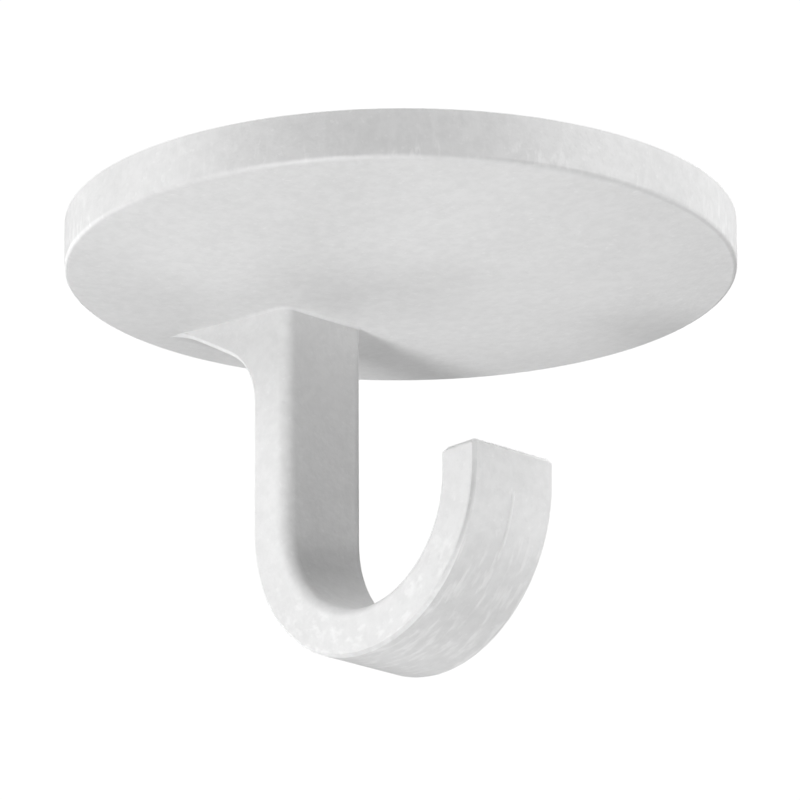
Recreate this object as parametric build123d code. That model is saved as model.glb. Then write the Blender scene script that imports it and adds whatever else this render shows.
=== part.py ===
from build123d import *
import math
import os

# Self-adhesive ceiling hook, in millimetres: one white moulding, with a round foam pad on its flat top face.
# The origin is the middle of the pad's sticky face, which lies on the ceiling, and +Z points into the ceiling.
# The hook hangs below: its stem is on the -X side of the centre and its tip on the +X side.

# Foam pad
pad_diameter = 34.0
pad_thickness = 1.0

# Round base
base_diameter = 40.0
rim_thickness = 3.0
rim_lower_edge = 0.3        # rounding between the rim and the domed underside
dome_rise = 1.2             # how far the underside bulges below the rim's lower edge

# J-shaped hook
hook_width = 6.4            # across the J
stem_thickness = 2.9        # the J's section at the stem
tip_thickness = 3.2         # and at the tip; it grows evenly round the bend
throat_width = 13.1         # clear width between the stem and the tip
hook_drop = 24.2            # from the rim's lower edge to the bottom of the bend
tip_rise = 1.4              # straight length of the tip above the bend
tip_bevel = 0.3             # bevel round the tip's end
inner_edge = 0.8            # rounding along both sides of the J, inside the bend
outer_edge = 0.2            # bevel along both sides of the J, outside the bend and down the buttress

# Buttress behind the stem
buttress_reach = 18.2       # where it runs out on the underside, from the centre
buttress_angle = 29.0       # its slope, from the horizontal
buttress_stem_blend = 4.0   # curve between the slope and the stem
buttress_base_blend = 10.0  # curve between the slope and the underside
run_out_depth = 0.06        # how deep its thin end is sunk in the base

# Fillet round the foot of the stem
root_fillet = 0.2
root_inset = 0.02           # how far the fillet's core stays inside the stem
root_depth = 0.6            # how far the fillet's core reaches below the underside

# Sizes that follow from those above
base_radius = base_diameter / 2
base_top = -pad_thickness
rim_bottom = base_top - rim_thickness
root_z = rim_bottom + rim_thickness / 2
dome_radius = (base_radius**2 + dome_rise**2) / (2 * dome_rise)
dome_centre_z = rim_bottom - dome_rise + dome_radius
throat_radius = throat_width / 2
outer_radius = (stem_thickness + throat_width + tip_thickness) / 2
stem_face = stem_thickness - outer_radius
tip_face = outer_radius - tip_thickness
bend_z = rim_bottom - hook_drop + outer_radius
tip_z = bend_z + tip_rise
buttress_slope = math.radians(buttress_angle)


def dome_z(distance):
    """Height of the domed underside at a distance from the hook's axis."""
    return dome_centre_z - math.sqrt(dome_radius**2 - distance**2)


def buttress_corners():
    """Corners of the buttress's back before they are rounded: at the stem, at the underside, and its thin end."""
    dome_slope = math.asin(buttress_reach / dome_radius)
    tangent = buttress_base_blend * math.tan((buttress_slope - dome_slope) / 2)
    end = Vector(-buttress_reach, dome_z(buttress_reach) + run_out_depth)
    along = Vector(math.cos(dome_slope), -math.sin(dome_slope))
    foot = end + along * tangent
    at_stem = Vector(-outer_radius, foot.Y - (-outer_radius - foot.X) * math.tan(buttress_slope))
    return at_stem, foot, end - along * outer_edge


def base():
    """Round base: a disc with a plain rim, cut below to the cap of a large sphere, and its lower edge rounded."""
    with BuildPart() as disc:
        with Locations((0, 0, base_top)):
            Cylinder(base_radius, rim_thickness + dome_rise, align=(Align.CENTER, Align.CENTER, Align.MAX))
        with Locations((0, 0, dome_centre_z)):
            Sphere(dome_radius, rotation=(90, 0, 0), mode=Mode.INTERSECT)
        lower_edge = disc.edges().filter_by(GeomType.CIRCLE).sort_by(Axis.Z)[0]
        fillet(lower_edge, rim_lower_edge)
    return disc.part


def side_edges(solid, nearest, furthest):
    """Edges of the flat sides whose distance from the J's centre line, above or round the bend, is in a range."""
    chosen = []
    for edge in solid.faces().filter_by(Axis.Y).edges():
        middle = edge.center()
        distance = math.hypot(middle.X, min(middle.Z - bend_z, 0))
        if middle.Z < root_z and nearest < distance < furthest:
            chosen.append(edge)
    return chosen


def hook():
    """The J and its buttress: one outline seen from the side, drawn out to the hook's width, with soft edges."""
    at_stem, foot, end = buttress_corners()
    with BuildPart() as bent:
        with BuildSketch(Plane.XZ):
            with BuildLine():
                Line((stem_face, root_z), (stem_face, bend_z))
                CenterArc(((stem_face + tip_face) / 2, bend_z), throat_radius, 180, 180)
                Polyline(
                    (tip_face, bend_z),
                    (tip_face, tip_z),
                    (outer_radius, tip_z),
                    (outer_radius, bend_z),
                )
                CenterArc((0, bend_z), outer_radius, 0, -180)
                FilletPolyline(
                    (-outer_radius, bend_z),
                    at_stem,
                    foot,
                    end,
                    radius=[buttress_stem_blend, buttress_base_blend],
                )
                Polyline(end, (end.X, root_z), (stem_face, root_z))
            make_face()
        extrude(amount=hook_width / 2, both=True)
        fillet(side_edges(bent, 0, throat_radius + inner_edge / 2), inner_edge)
        chamfer(side_edges(bent, outer_radius - outer_edge, -end.X), outer_edge)
        tip_end = bent.faces().filter_by(Axis.Z).sort_by(Axis.X)[-1]
        chamfer(tip_end.edges(), tip_bevel)
    return bent.part


def moulded_hook():
    """Base and hook as one moulding, with a fillet round the stem's foot."""
    blend_tangent = buttress_stem_blend * math.tan((math.pi / 2 - buttress_slope) / 2)
    core_back = -outer_radius - blend_tangent * math.cos(buttress_slope)
    core_front = stem_face - root_inset
    core_width = hook_width - 2 * root_inset
    core_bottom = rim_bottom - dome_rise - root_depth
    with BuildPart() as moulding:
        add(base())
        with BuildSketch(Plane.XY.offset(root_z)):
            with Locations(((core_back + core_front) / 2, 0)):
                RectangleRounded(core_front - core_back, core_width, inner_edge - root_inset)
        extrude(amount=core_bottom - root_z)
        fillet(moulding.edges(Select.NEW), root_fillet)
        add(hook())
    return moulding.part


def adhesive_pad():
    """Round pad of double-sided foam tape between the base and the ceiling."""
    with BuildPart() as pad:
        Cylinder(pad_diameter / 2, pad_thickness, align=(Align.CENTER, Align.CENTER, Align.MAX))
    return pad.part


os.makedirs("parts", exist_ok=True)
export_step(moulded_hook(), "parts/moulded_hook.step")
export_step(adhesive_pad(), "parts/adhesive_pad.step")
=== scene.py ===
import math
import bmesh
import bpy
from mathutils import Matrix, Vector


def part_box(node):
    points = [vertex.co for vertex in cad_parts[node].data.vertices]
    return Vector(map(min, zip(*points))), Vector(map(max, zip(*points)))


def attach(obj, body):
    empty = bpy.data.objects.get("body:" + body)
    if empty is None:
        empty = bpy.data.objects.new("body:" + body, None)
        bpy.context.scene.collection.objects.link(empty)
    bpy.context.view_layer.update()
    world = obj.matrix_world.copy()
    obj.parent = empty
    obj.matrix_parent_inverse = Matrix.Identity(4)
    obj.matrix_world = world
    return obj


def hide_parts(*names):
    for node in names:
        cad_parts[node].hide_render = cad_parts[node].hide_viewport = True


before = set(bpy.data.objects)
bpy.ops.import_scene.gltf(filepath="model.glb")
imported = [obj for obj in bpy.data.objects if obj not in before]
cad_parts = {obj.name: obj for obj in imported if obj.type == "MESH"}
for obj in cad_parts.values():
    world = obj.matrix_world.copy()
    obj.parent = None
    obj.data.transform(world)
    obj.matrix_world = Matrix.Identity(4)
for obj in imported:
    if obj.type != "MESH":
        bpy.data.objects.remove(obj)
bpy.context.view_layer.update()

MM = 0.001

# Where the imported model's pieces are, in metres
hook_low, hook_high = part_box("moulded_hook")
pad_low, pad_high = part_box("adhesive_pad")
pad_radius = pad_high.x
pad_thickness = pad_high.z - pad_low.z

# The moulding's own sizes that its finish and its parting line follow
rim_thickness = 3.0 * MM
dome_rise = 1.2 * MM
throat_radius = 6.55 * MM            # inside of the J's bend
bend_radius = 9.6 * MM               # outside of the J's bend
side_y = 3.2 * MM                    # the J's flat sides, from its middle
rim_bottom_z = hook_high.z - rim_thickness
underside_z = rim_bottom_z - dome_rise
bend_z = hook_low.z + bend_radius    # height of the bend's centre

# White plastic; a tone is a share of full white, and the tone of a mark is added to the skin's
plastic_roughness = 0.48
glow_depth = 0.6 * MM                # how far light spreads inside it
cloud_size = 4 * MM
cloud_tones = (0.82, 0.84)           # darkest and palest
mottle_size = 0.7 * MM
mottle_tones = (-0.02, 0.025)
grain_size = 0.32 * MM               # fine specks and pits
speck_tone = 0.05
pit_tone = -0.03
skin_depth = 0.03 * MM               # depth of the skin's unevenness
mottle_height = 1.5                  # its share in that depth, beside the grain's 1
bump_strength = 0.4                  # of the foam too

# Marks on the plastic; a pair of places is where a mark begins to ease in or out, and where that ends

# Upright scuffs on the rim
scuff_size = 0.5 * MM
scuff_squeeze = (1.0, 1.0, 0.35)     # draws them out upwards
scuff_patch_size = 9 * MM
scuff_begin = (rim_bottom_z, rim_bottom_z + 0.2 * MM)
scuff_weaken = (rim_bottom_z + 0.6 * MM, rim_bottom_z + 1.8 * MM)
scuff_weakest = 0.35                 # strength high on the rim
scuff_patch_weakest = 0.25           # and between the patches
scuff_height = 0.5
scuff_tone = 0.11

# Pale flecks on the J: grain in its skin, whose paler colour is partly painted glints
streak_size = 0.44 * MM              # on its outer face
streak_squeeze = (1.0, 1.0, 0.25)    # draws them out along the J
dot_size = 0.5 * MM                  # on its flat sides
dot_squeeze = (1.0, 1.0, 0.6)
fleck_cluster_size = 1.6 * MM
fleck_sides = (side_y - 0.3 * MM, side_y - 0.1 * MM)
fleck_thinning = (bend_z - 7.0 * MM, bend_z - 1.5 * MM)    # upwards out of the bend
fleck_inner_edge = (throat_radius + 0.4 * MM, throat_radius + 1.0 * MM)
fleck_top = (underside_z - 1.5 * MM, underside_z - 0.5 * MM)
fleck_threshold = (0.62, 0.47)       # noise above which they show, out of the bend and in it
fleck_clustering = (0.05, -0.04)     # added to that
fleck_softness = 0.24
fleck_weakest = 0.35                 # strength out of the bend
fleck_side_strength = 0.7
fleck_height = 0.8
fleck_glint_tone = 0.12

# Fall of the J's outer face from its parting line to its sides; lengths count from the start of the bend
draft_slope = 0.055
draft_face = (bend_radius - 0.2 * MM, bend_radius - 0.1 * MM)
draft_end = (0.5 * bend_radius, 1.2 * bend_radius)
draft_top = underside_z - 1.5 * MM

# Painted shade: a dark line along the J's outer edges, standing in for the shade on their chamfer
edge_shade_sides = (side_y - 0.25 * MM, side_y - 0.1 * MM)
edge_shade_face = (bend_radius - 0.4 * MM, bend_radius - 0.2 * MM)
edge_shade_begin = (-0.4 * MM, 1.6 * MM)
edge_shade_end = (0.55 * bend_radius, 1.1 * bend_radius)
edge_shade_tone = -0.1

# Painted light: a paler area on the J's outer face, where light falls on it
face_light_patch_size = 1.2 * MM
face_light_weakest = 0.7                 # strength between the patches
face_light_skin = (bend_radius - 0.15 * MM, bend_radius - 0.05 * MM)
face_light_begin = (0.5 * MM, 3.0 * MM)
face_light_end = (0.6 * bend_radius, bend_radius)
face_light_tone = 0.08

# Parting line down the middle of the J's outside
bead_width = 0.34 * MM
bead_height = 0.045 * MM
bead_sink = 0.03 * MM                # how far its widest line lies below the outer face
bead_start_angle = math.radians(4)   # where it begins and ends round the bend, from the tip
bead_end_angle = math.radians(44)
bead_begin = (0.0, 0.15)             # where it swells and dwindles, as shares of its length
bead_dwindle = (0.5, 1.0)
bead_swell_length = 0.9 * MM
bead_least_swell = 0.7
bead_wobble = 0.05 * MM              # how far it strays sideways
bead_wobble_length = 2.5 * MM
bead_steps = 160
bead_sides = 8
bead_crease = 80                     # degrees
# Painted highlight on the bead, where it stands proud of the outer face
bead_highlight_skin = (bend_radius, bend_radius + 0.01 * MM)
bead_highlight_tone = 0.06

# Foam pad
pad_steps_round = 720
pad_steps_high = 16
pad_rings = 16
pad_crease = 50                      # degrees
on_surface = 0.9999                  # share of the pad's size from which a point lies on its surface
cell_size = 0.42 * MM                # foam cells that the die cut open on the pad's edge
cell_depth = 0.10 * MM
edge_waist = 0.12 * MM               # how far the cut edge draws in at half its height
foam_tones = (0.60, 0.80)
foam_roughness = 0.85
foam_blue_share = 0.95
foam_grain_size = 0.18 * MM
foam_grain_depth = 0.03 * MM
film_depth = 0.06 * MM               # thickness of the glue film on the sticky face
film_ripple = 0.03 * MM              # unevenness of that face
film_ripple_size = 4 * MM
film_cloud_size = 3 * MM
film_tones = (0.60, 0.70)
film_roughness = 0.45

# Camera, as fitted to the photograph
photo_side = 800                     # pixels
pixels_per_mm = 16.82                # at the middle of the rim's lower edge
rim_centre_pixel = (401.4, 273.74)   # where that middle is seen
camera_azimuth = math.radians(46.96)
camera_elevation = math.radians(-19.39)
camera_roll = math.radians(-0.27)
camera_distance = 480 * MM
sensor_width = 36.0
camera_lens = sensor_width * pixels_per_mm * camera_distance / MM / photo_side
nearest_view = 0.01

# Studio
backdrop_radius = 1.8
backdrop_steps = 48
backdrop_tone = 1.0
floor_drop = 1.0                     # floor below the hook
floor_tone = 0.9
light_focus = Vector((0.0, 0.0, -12 * MM))
world_strength = 0.03


class Nodes:
    """Short calls to add and join the nodes of one tree."""

    def __init__(self, tree):
        self.tree = tree

    def add(self, kind, settings=None, **inputs):
        """Adds a node; each input, named with _ for a space, is a value or another node's output."""
        node = self.tree.nodes.new(kind)
        for name, value in (settings or {}).items():
            setattr(node, name, value)
        for name, value in inputs.items():
            self.put(node.inputs[name.replace("_", " ")], value)
        return node

    def put(self, socket, value):
        """Sets an input, or links an output to it."""
        if isinstance(value, bpy.types.NodeSocket):
            self.tree.links.new(value, socket)
        else:
            socket.default_value = value

    def math(self, operation, *values):
        """One sum of plain numbers; returns its output."""
        node = self.add("ShaderNodeMath", {"operation": operation})
        for socket, value in zip(node.inputs, values):
            self.put(socket, value)
        return node.outputs[0]

    def product(self, first, *others):
        """Two or more plain numbers multiplied together."""
        for other in others:
            first = self.math("MULTIPLY", first, other)
        return first

    def vector_math(self, operation, first, second=None, scale=None):
        """One sum of vectors; returns its output."""
        node = self.add("ShaderNodeVectorMath", {"operation": operation})
        self.put(node.inputs[0], first)
        if second is not None:
            self.put(node.inputs[1], second)
        if scale is not None:
            self.put(node.inputs["Scale"], scale)
        return node.outputs["Value" if operation == "LENGTH" else "Vector"]

    def ramp(self, value, low, high, to_low=0.0, to_high=1.0):
        """A value from low to high becomes one from to_low to to_high, eased and held at both ends."""
        node = self.add(
            "ShaderNodeMapRange",
            {"interpolation_type": "SMOOTHSTEP"},
            Value=value,
            From_Min=low,
            From_Max=high,
            To_Min=to_low,
            To_Max=to_high,
        )
        return node.outputs["Result"]

    def fade(self, value, low, high):
        """1 up to low, eased down to 0 at high."""
        return self.ramp(value, low, high, to_low=1.0, to_high=0.0)

    def noise(self, place, size, detail=2.0, roughness=0.5):
        """Soft noise whose features are about as large as size; returns a value round 0.5."""
        node = self.add(
            "ShaderNodeTexNoise",
            Vector=place,
            Scale=1 / size,
            Detail=detail,
            Roughness=roughness,
        )
        return node.outputs[0]

    def mix(self, factor, first, second):
        """First where the factor is 0, second where it is 1."""
        return self.add("ShaderNodeMix", Factor=factor, A=first, B=second).outputs[0]

    def split(self, vector):
        """The three parts of a vector."""
        return self.add("ShaderNodeSeparateXYZ", Vector=vector).outputs

    def join(self, x, y, z):
        """A vector of three parts."""
        return self.add("ShaderNodeCombineXYZ", X=x, Y=y, Z=z).outputs[0]


def new_material(name, **values):
    """A material with one Principled shader; returns it, its tree's helper and the shader."""
    material = bpy.data.materials.new(name)
    material.use_nodes = True
    nodes = Nodes(material.node_tree)
    shader = material.node_tree.nodes["Principled BSDF"]
    for key, value in values.items():
        nodes.put(shader.inputs[key.replace("_", " ")], value)
    return material, nodes, shader


def grey(nodes, tone, blue_share=1.0):
    """A grey of one tone, or a warm one with a smaller share of blue."""
    blue = nodes.product(tone, blue_share) if blue_share != 1.0 else tone
    return nodes.add("ShaderNodeCombineColor", Red=tone, Green=tone, Blue=blue).outputs[0]


def along_the_hook(nodes, place):
    """Places on the J: distance from the bend's centre, across it, and length from the start of the bend."""
    x, y, z = nodes.split(place)
    above = nodes.math("SUBTRACT", z, bend_z)
    below = nodes.math("MAXIMUM", nodes.product(above, -1.0), 0.0)
    straight = nodes.math("MAXIMUM", above, 0.0)
    squares = nodes.math("ADD", nodes.math("POWER", x, 2.0), nodes.math("POWER", below, 2.0))
    radius = nodes.math("SQRT", squares)
    turned = nodes.product(nodes.math("ARCTAN2", below, x), bend_radius)
    length = nodes.math("SUBTRACT", turned, nodes.product(nodes.math("SIGN", x), straight))
    return nodes.join(radius, y, length)


def rim_scuffs(nodes, place):
    """Soft upright bars on the rim, in patches, strongest along its lower edge."""
    z = nodes.split(place)[2]
    upright = nodes.vector_math("MULTIPLY", place, scuff_squeeze)
    bars = nodes.ramp(nodes.noise(upright, scuff_size, detail=2.5, roughness=0.6), 0.5, 0.68)
    patches = nodes.ramp(nodes.noise(place, scuff_patch_size), 0.42, 0.58, to_low=scuff_patch_weakest)
    on_rim = nodes.ramp(z, *scuff_begin)
    low_on_rim = nodes.ramp(z, *scuff_weaken, to_low=1.0, to_high=scuff_weakest)
    return nodes.product(bars, nodes.product(on_rim, low_on_rim, patches))


def hook_flecks_and_glints(nodes, place, hook_place):
    """Pale flecks on the J, short on its flat sides, drawn out on its outer face, thickest in the bend:
    grain in the skin, with painted glints in their paler colour.
    """
    from_centre, y, _ = nodes.split(hook_place)
    z = nodes.split(place)[2]
    drawn_out = nodes.vector_math("MULTIPLY", hook_place, streak_squeeze)
    streaks = nodes.noise(drawn_out, streak_size, roughness=0.55)
    short = nodes.vector_math("MULTIPLY", hook_place, dot_squeeze)
    dots = nodes.noise(short, dot_size, detail=2.5, roughness=0.6)
    on_side = nodes.ramp(nodes.math("ABSOLUTE", y), *fleck_sides)
    in_bend = nodes.fade(z, *fleck_thinning)
    clusters = nodes.ramp(nodes.noise(place, fleck_cluster_size), 0.35, 0.65, *fleck_clustering)
    least = nodes.math("ADD", nodes.ramp(in_bend, 0.0, 1.0, *fleck_threshold), clusters)
    most = nodes.math("ADD", least, fleck_softness)
    glinting_flecks = nodes.ramp(nodes.mix(on_side, streaks, dots), least, most)
    stronger_in_bend = nodes.ramp(in_bend, 0.0, 1.0, to_low=fleck_weakest)
    weaker_on_side = nodes.ramp(on_side, 0.0, 1.0, to_low=1.0, to_high=fleck_side_strength)
    outside = nodes.ramp(from_centre, *fleck_inner_edge)
    on_hook = nodes.fade(z, *fleck_top)
    return nodes.product(glinting_flecks, nodes.product(stronger_in_bend, weaker_on_side, outside, on_hook))


def draft_ridge(nodes, place, hook_place):
    """Height of the J's outer face, which falls away a little on both sides of the parting line."""
    from_centre, y, length = nodes.split(hook_place)
    outer_face = nodes.ramp(from_centre, *draft_face)
    tip_side = nodes.fade(length, *draft_end)
    on_hook = nodes.math("LESS_THAN", nodes.split(place)[2], draft_top)
    from_side = nodes.math("SUBTRACT", side_y, nodes.math("ABSOLUTE", y))
    return nodes.product(from_side, draft_slope, nodes.product(outer_face, tip_side, on_hook))


def painted_edge_shade(nodes, hook_place):
    """Painted shade: a faint dark line along both outer edges of the J, from below its tip into the bend,
    where the edge's chamfer is shaded.
    """
    from_centre, y, length = nodes.split(hook_place)
    on_side = nodes.ramp(nodes.math("ABSOLUTE", y), *edge_shade_sides)
    at_edge = nodes.ramp(from_centre, *edge_shade_face)
    begin = nodes.ramp(length, *edge_shade_begin)
    end = nodes.fade(length, *edge_shade_end)
    return nodes.product(on_side, at_edge, begin, end)


def painted_face_light(nodes, place, hook_place):
    """Painted light: a paler outer face on the J, in patches, between its tip and the bottom of the bend,
    where light falls on it.
    """
    from_centre, _, length = nodes.split(hook_place)
    outer_face = nodes.ramp(from_centre, *face_light_skin)
    begin = nodes.ramp(length, *face_light_begin)
    end = nodes.fade(length, *face_light_end)
    patches = nodes.ramp(nodes.noise(place, face_light_patch_size), 0.3, 0.7, to_low=face_light_weakest)
    return nodes.product(outer_face, begin, end, patches)


def painted_bead_highlight(nodes, place, hook_place):
    """Painted highlight: paler plastic where the parting line's bead stands proud of the J's outer face."""
    proud = nodes.ramp(nodes.split(hook_place)[0], *bead_highlight_skin)
    in_bend = nodes.math("LESS_THAN", nodes.split(place)[2], bend_z)
    return nodes.product(proud, in_bend)


def white_plastic():
    """White polypropylene: a mottled skin with fine specks, rim scuffs and flecks, painted shade along the
    J's outer edges, and painted light on its outer face and parting line.
    """
    material, nodes, shader = new_material(
        "white_plastic",
        Roughness=plastic_roughness,
        IOR=1.49,
        Subsurface_Weight=0.15,
        Subsurface_Radius=(1.0, 1.0, 1.0),
        Subsurface_Scale=glow_depth,
    )
    place = nodes.add("ShaderNodeTexCoord").outputs["Object"]
    hook_place = along_the_hook(nodes, place)
    cloud = nodes.ramp(nodes.noise(place, cloud_size, detail=3.0), 0.3, 0.7, *cloud_tones)
    mottle = nodes.noise(place, mottle_size, detail=2.5, roughness=0.65)
    fine = nodes.noise(place, grain_size)
    scuffs = rim_scuffs(nodes, place)
    glinting_flecks = hook_flecks_and_glints(nodes, place, hook_place)

    marks = (
        (nodes.ramp(fine, 0.62, 0.74), speck_tone),
        (nodes.fade(fine, 0.26, 0.36), pit_tone),
        (scuffs, scuff_tone),
        # Pale flecks: grain, with painted glints in their colour
        (glinting_flecks, fleck_glint_tone),
        # Painted shade along the J's outer edges
        (painted_edge_shade(nodes, hook_place), edge_shade_tone),
        # Painted light on the J's outer face
        (painted_face_light(nodes, place, hook_place), face_light_tone),
        # Painted highlight on the parting line's bead
        (painted_bead_highlight(nodes, place, hook_place), bead_highlight_tone),
    )
    tone = nodes.math("ADD", cloud, nodes.ramp(mottle, 0.3, 0.7, *mottle_tones))
    for mark, mark_tone in marks:
        tone = nodes.math("MULTIPLY_ADD", mark, mark_tone, tone)
    nodes.put(shader.inputs["Base Color"], grey(nodes, tone))

    skin = nodes.math("ADD", fine, nodes.product(mottle, mottle_height))
    skin = nodes.math("MULTIPLY_ADD", glinting_flecks, fleck_height, skin)
    skin = nodes.math("MULTIPLY_ADD", scuffs, scuff_height, skin)
    ridge = draft_ridge(nodes, place, hook_place)
    drafted = nodes.add("ShaderNodeBump", Distance=1.0, Height=ridge).outputs[0]
    bump = nodes.add(
        "ShaderNodeBump",
        Strength=bump_strength,
        Distance=skin_depth,
        Height=skin,
        Normal=drafted,
    )
    nodes.put(shader.inputs["Normal"], bump.outputs[0])
    return material


def foam_tape():
    """Off-white closed-cell foam, with a thin glue film on its sticky face."""
    material, nodes, shader = new_material("foam_tape", IOR=1.45)
    place = nodes.add("ShaderNodeTexCoord").outputs["Object"]
    film = nodes.ramp(nodes.split(place)[2], pad_high.z - 2 * film_depth, pad_high.z - film_depth)
    cells = nodes.add("ShaderNodeTexVoronoi", Vector=place, Scale=1 / cell_size).outputs["Distance"]
    foam_tone = nodes.ramp(cells, 0.0, 0.7, *foam_tones)
    film_tone = nodes.ramp(nodes.noise(place, film_cloud_size, detail=4.0), 0.3, 0.7, *film_tones)
    tone = nodes.mix(film, foam_tone, film_tone)
    nodes.put(shader.inputs["Base Color"], grey(nodes, tone, blue_share=foam_blue_share))
    nodes.put(shader.inputs["Roughness"], nodes.ramp(film, 0.0, 1.0, foam_roughness, film_roughness))
    grain = nodes.noise(place, foam_grain_size)
    bump = nodes.add("ShaderNodeBump", Strength=bump_strength, Distance=foam_grain_depth, Height=grain)
    nodes.put(shader.inputs["Normal"], bump.outputs[0])
    return material


def stage_surface(name, tone):
    """A plain pale surface that is seen evenly lit."""
    return new_material(
        name,
        Base_Color=(tone, tone, tone, 1.0),
        Roughness=0.9,
        Emission_Color=(1.0, 1.0, 1.0, 1.0),
        Emission_Strength=tone,
    )[0]


def add_object(name, data):
    """Links a new object to the scene."""
    thing = bpy.data.objects.new(name, data)
    bpy.context.scene.collection.objects.link(thing)
    return thing


def new_tree(name, sizes):
    """An empty Geometry Nodes tree with named size inputs; returns its helper and those inputs."""
    tree = bpy.data.node_groups.new(name, "GeometryNodeTree")
    tree.interface.new_socket("Geometry", in_out="OUTPUT", socket_type="NodeSocketGeometry")
    for label, value in sizes.items():
        kind = "NodeSocketInt" if isinstance(value, int) else "NodeSocketFloat"
        tree.interface.new_socket(label, in_out="INPUT", socket_type=kind)
    nodes = Nodes(tree)
    return nodes, nodes.add("NodeGroupInput").outputs


def end_tree(nodes, geometry, material):
    """Ends a tree as one plain mesh with its material."""
    real = nodes.add("GeometryNodeRealizeInstances", Geometry=geometry).outputs[0]
    dressed = nodes.add("GeometryNodeSetMaterial", Geometry=real, Material=material).outputs[0]
    nodes.add("NodeGroupOutput", Geometry=dressed)


def piece_from_tree(name, nodes, sizes, crease):
    """Runs a tree with its sizes and returns the finished piece, smooth up to a crease angle in degrees."""
    maker = add_object(name + "_maker", bpy.data.meshes.new(name + "_maker"))
    modifier = maker.modifiers.new("maker", "NODES")
    modifier.node_group = nodes.tree
    for item in nodes.tree.interface.items_tree:
        if item.in_out == "INPUT":
            modifier[item.identifier] = sizes[item.name]
    graph = bpy.context.evaluated_depsgraph_get()
    mesh = bpy.data.meshes.new_from_object(maker.evaluated_get(graph))
    bpy.data.objects.remove(maker)
    mesh.name = name
    mesh.polygons.foreach_set("use_smooth", [True] * len(mesh.polygons))
    mesh.set_sharp_from_angle(angle=math.radians(crease))
    return add_object(name, mesh)


def foam_pad(material):
    """Die-cut foam disc: open cells and a slight waist on its cut edge, and an uneven sticky face."""
    sizes = {
        "Radius": pad_radius,
        "Thickness": pad_thickness,
        "Steps Round": pad_steps_round,
        "Steps High": pad_steps_high,
        "Rings": pad_rings,
        "Cell Size": cell_size,
        "Cell Depth": cell_depth,
        "Waist": edge_waist,
        "Ripple": film_ripple,
    }
    nodes, given = new_tree("foam_pad", sizes)
    disc = nodes.add(
        "GeometryNodeMeshCylinder",
        {"fill_type": "TRIANGLE_FAN"},
        Vertices=given["Steps Round"],
        Side_Segments=given["Steps High"],
        Fill_Segments=given["Rings"],
        Radius=given["Radius"],
        Depth=given["Thickness"],
    ).outputs["Mesh"]
    half = nodes.product(given["Thickness"], 0.5)
    place = nodes.add("GeometryNodeInputPosition").outputs[0]
    x, y, z = nodes.split(place)
    outward = nodes.vector_math("NORMALIZE", nodes.join(x, y, 0.0))
    reach = nodes.vector_math("LENGTH", nodes.join(x, y, 0.0))
    on_edge = nodes.math("GREATER_THAN", reach, nodes.product(given["Radius"], on_surface))
    on_face = nodes.math("GREATER_THAN", z, nodes.product(half, on_surface))

    level = nodes.math("DIVIDE", z, half)
    bow = nodes.math("SUBTRACT", 1.0, nodes.math("POWER", level, 2.0))
    cells = nodes.add(
        "ShaderNodeTexVoronoi",
        {"feature": "SMOOTH_F1"},
        Vector=place,
        Scale=nodes.math("DIVIDE", 1.0, given["Cell Size"]),
        Smoothness=0.4,
    ).outputs["Distance"]
    hollow = nodes.fade(cells, 0.1, 0.65)
    deep = nodes.product(hollow, given["Cell Depth"], nodes.math("SQRT", bow))
    inward = nodes.math("MULTIPLY_ADD", bow, given["Waist"], deep)
    draw_in = nodes.product(inward, on_edge, -1.0)
    drop = nodes.product(nodes.noise(place, film_ripple_size), given["Ripple"], -1.0)
    lower = nodes.join(0.0, 0.0, nodes.product(drop, on_face))
    move = nodes.vector_math("ADD", nodes.vector_math("SCALE", outward, scale=draw_in), lower)
    shaped = nodes.add("GeometryNodeSetPosition", Geometry=disc, Offset=move).outputs[0]

    sink = nodes.join(0.0, 0.0, nodes.product(half, -1.0))
    placed = nodes.add("GeometryNodeTransform", Geometry=shaped, Translation=sink).outputs[0]
    end_tree(nodes, placed, material)
    return piece_from_tree("foam_pad", nodes, sizes, pad_crease)


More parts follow.
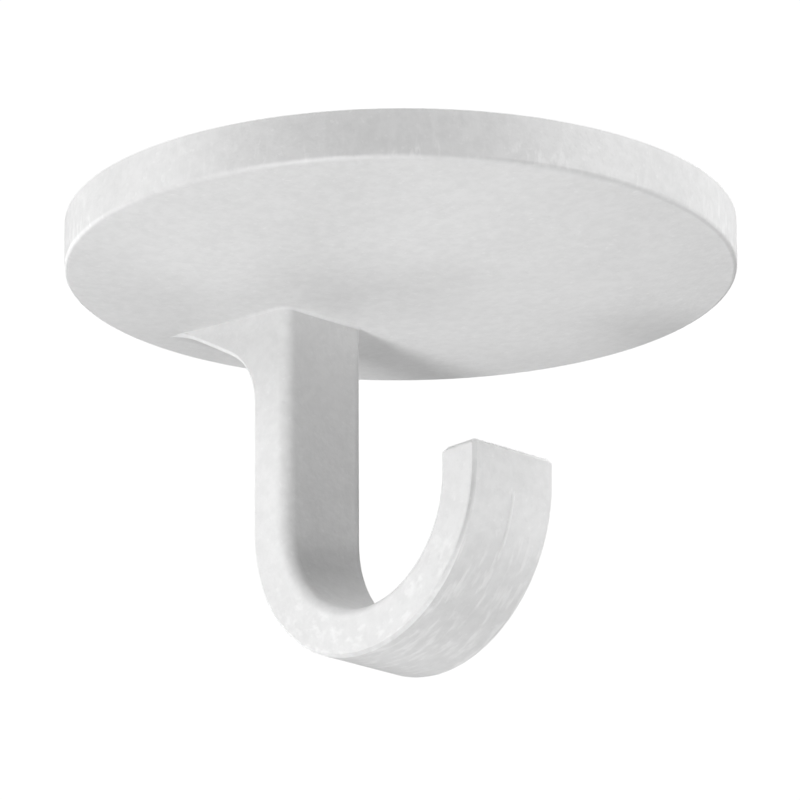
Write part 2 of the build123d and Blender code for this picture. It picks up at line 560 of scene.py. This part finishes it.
def parting_line(material):
    """Thin bead of flash down the middle of the J's outside, from below the tip into the bend."""
    sizes = {
        "Bend Radius": bend_radius,
        "Bend Height": bend_z,
        "First Angle": bead_start_angle,
        "Last Angle": bead_end_angle,
        "Bead Width": bead_width,
        "Bead Height": bead_height,
        "Bead Sink": bead_sink,
        "Wobble": bead_wobble,
        "Steps": bead_steps,
        "Sides": bead_sides,
    }
    nodes, given = new_tree("parting_line", sizes)
    tube = nodes.add(
        "GeometryNodeMeshCylinder",
        Vertices=given["Sides"],
        Side_Segments=given["Steps"],
        Radius=1.0,
        Depth=1.0,
    ).outputs["Mesh"]
    out, across, level = nodes.split(nodes.add("GeometryNodeInputPosition").outputs[0])
    share = nodes.math("ADD", level, 0.5)

    sweep = nodes.math("SUBTRACT", given["Last Angle"], given["First Angle"])
    angle = nodes.math("MULTIPLY_ADD", share, sweep, given["First Angle"])
    along = nodes.join(nodes.product(angle, given["Bend Radius"]), 0.0, 0.0)
    ends = nodes.product(nodes.ramp(share, *bead_begin), nodes.fade(share, *bead_dwindle))
    uneven = nodes.ramp(nodes.noise(along, bead_swell_length), 0.3, 0.6, to_low=bead_least_swell)
    swell = nodes.product(ends, uneven)
    half_height = nodes.math("ADD", given["Bead Height"], given["Bead Sink"])
    rise = nodes.product(out, half_height, swell)
    sunk_radius = nodes.math("SUBTRACT", given["Bend Radius"], given["Bead Sink"])
    radius = nodes.math("ADD", sunk_radius, rise)
    # Half the width is below 0, so that the tube's faces point outwards
    half_width = nodes.product(across, given["Bead Width"], -0.5)
    stray = nodes.math("SUBTRACT", nodes.noise(along, bead_wobble_length), 0.5)
    x = nodes.product(nodes.math("COSINE", angle), radius)
    y = nodes.math("ADD", nodes.product(half_width, swell), nodes.product(stray, given["Wobble"]))
    fall = nodes.product(nodes.math("SINE", angle), radius)
    z = nodes.math("SUBTRACT", given["Bend Height"], fall)
    laid = nodes.add("GeometryNodeSetPosition", Geometry=tube, Position=nodes.join(x, y, z)).outputs[0]
    end_tree(nodes, laid, material)
    return piece_from_tree("parting_line", nodes, sizes, bead_crease)


def camera():
    """The photograph's viewpoint: from below, with the tip to the right."""
    level = math.cos(camera_elevation)
    forward = Vector((
        -math.sin(camera_azimuth) * level,
        math.cos(camera_azimuth) * level,
        -math.sin(camera_elevation),
    ))
    right = Vector((math.cos(camera_azimuth), math.sin(camera_azimuth), 0.0))
    up = right.cross(forward)
    rim_centre = Vector((0.0, 0.0, rim_bottom_z))
    eye = rim_centre - forward * camera_distance
    pixel = MM / pixels_per_mm
    middle = photo_side / 2
    to_middle = right * (middle - rim_centre_pixel[0]) * pixel
    down_to_middle = up * (middle - rim_centre_pixel[1]) * pixel
    look = (rim_centre + to_middle - down_to_middle - eye).normalized()
    side = look.cross(up).normalized()
    lens = bpy.data.cameras.new("camera")
    lens.sensor_width = sensor_width
    lens.lens = camera_lens
    lens.clip_start = nearest_view
    turned = Matrix((side, side.cross(look), -look)).transposed().to_4x4()
    holder = add_object("camera", lens)
    holder.matrix_world = Matrix.Translation(eye) @ turned @ Matrix.Rotation(camera_roll, 4, "Z")
    bpy.context.scene.camera = holder


def soft_light(name, to_right, rise, distance, size, power):
    """A round soft light, placed by its angle to the camera's right and its rise, both in degrees."""
    turn = camera_azimuth + math.radians(to_right)
    lift = math.radians(rise)
    level = Vector((math.sin(turn), -math.cos(turn), 0.0))
    direction = level * math.cos(lift) + Vector((0.0, 0.0, math.sin(lift)))
    lamp = bpy.data.lights.new(name, "AREA")
    lamp.shape = "DISK"
    lamp.size = size
    lamp.energy = power
    holder = add_object(name, lamp)
    holder.location = light_focus + direction * distance
    holder.rotation_mode = "QUATERNION"
    holder.rotation_quaternion = direction.to_track_quat("Z", "Y")
    holder.visible_camera = False


def studio():
    """Soft lights round the hook, a dim even light from all sides, and tones shown as they are."""
    soft_light("key", to_right=-32, rise=-33, distance=0.25, size=0.07, power=0.43)
    soft_light("below", to_right=45, rise=-60, distance=0.5, size=0.35, power=0.64)
    soft_light("right", to_right=120, rise=-15, distance=0.5, size=0.35, power=0.9)
    soft_light("back", to_right=180, rise=-30, distance=0.5, size=0.35, power=0.35)
    soft_light("left", to_right=-135, rise=0, distance=0.5, size=0.35, power=1.1)
    soft_light("high_left", to_right=-88, rise=32, distance=0.5, size=0.35, power=1.25)
    soft_light("high_right", to_right=80, rise=44, distance=0.4, size=0.16, power=1.65)

    world = bpy.data.worlds.new("studio")
    world.use_nodes = True
    world.node_tree.nodes["Background"].inputs["Strength"].default_value = world_strength
    bpy.context.scene.world = world
    bpy.context.scene.view_settings.view_transform = "Standard"


def stage_piece(name, tone, build, **sizes):
    """A part of the studio that is only seen: it neither lights the hook nor shades it."""
    shape = bmesh.new()
    build(shape, **sizes)
    mesh = bpy.data.meshes.new(name)
    shape.to_mesh(mesh)
    shape.free()
    mesh.materials.append(stage_surface(name, tone))
    piece = add_object(name, mesh)
    for ray in ("diffuse", "glossy", "transmission", "volume_scatter", "shadow"):
        setattr(piece, "visible_" + ray, False)


def surroundings():
    """A white backdrop all round and a pale floor below."""
    stage_piece(
        "backdrop",
        backdrop_tone,
        bmesh.ops.create_uvsphere,
        u_segments=backdrop_steps,
        v_segments=backdrop_steps // 2,
        radius=backdrop_radius,
    )
    stage_piece(
        "floor",
        floor_tone,
        bmesh.ops.create_circle,
        cap_ends=True,
        segments=backdrop_steps,
        radius=math.sqrt(backdrop_radius**2 - floor_drop**2),
        matrix=Matrix.Translation((0.0, 0.0, -floor_drop)),
    )


camera()
studio()
surroundings()
plastic = white_plastic()
foam = foam_tape()

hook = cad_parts["moulded_hook"]
hook.data.materials.clear()
hook.data.materials.append(plastic)

bead = parting_line(plastic)
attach(bead, "root")

pad = foam_pad(foam)
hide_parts("adhesive_pad")
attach(pad, "root")
